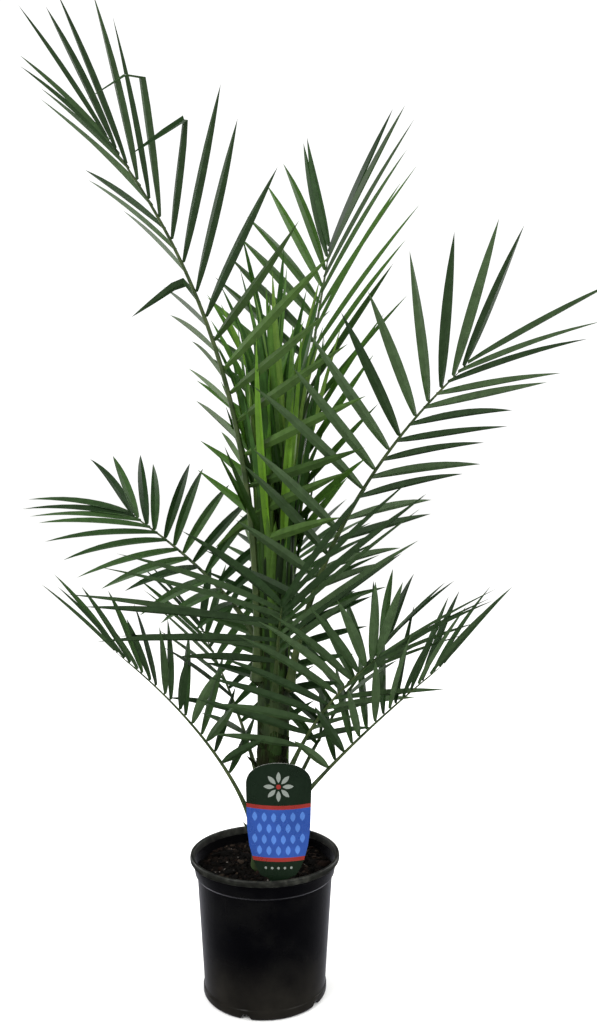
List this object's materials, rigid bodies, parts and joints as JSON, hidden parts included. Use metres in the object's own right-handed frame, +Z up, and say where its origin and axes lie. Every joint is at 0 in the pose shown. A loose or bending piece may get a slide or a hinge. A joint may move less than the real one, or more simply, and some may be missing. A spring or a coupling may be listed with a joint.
{
  "type": "date palm",
  "caption": "Young date palm with arching feather fronds on a short fibrous stem, in a round black nursery pot with a plant tag.",
  "frame": {"origin": "centre of the pot's flat underside", "axes": "+Z up, +X to the right and -Y towards the viewer who faces the plant tag"},
  "size_m": [0.7628, 0.6859, 1.2338],
  "materials": {
    "pot_plastic": "satin black, lightly scuffed",
    "potting_mix": "rough damp crumbs",
    "tag_plastic": "printed glossy card",
    "stem_fibre": "fibrous leaf bases",
    "leaf": "waxy green",
    "young_leaf": "waxy bright green"
  },
  "bodies": {
    "root": {"pot": "pot_plastic", "soil": "potting_mix", "plant_tag": "tag_plastic", "stem": "stem_fibre", "frond_tall_left": "leaf", "frond_tall_right": "leaf", "frond_tall_back": "leaf", "frond_left": "leaf", "frond_front": "leaf", "frond_back": "leaf", "frond_low_left": "leaf", "frond_low_right": "leaf", "frond_right": "leaf", "frond_low_back_left": "leaf", "frond_low_back_right": "leaf", "frond_young_back": "young_leaf", "frond_young_left": "young_leaf", "frond_young_right": "young_leaf"}
  },
  "joints": []
}
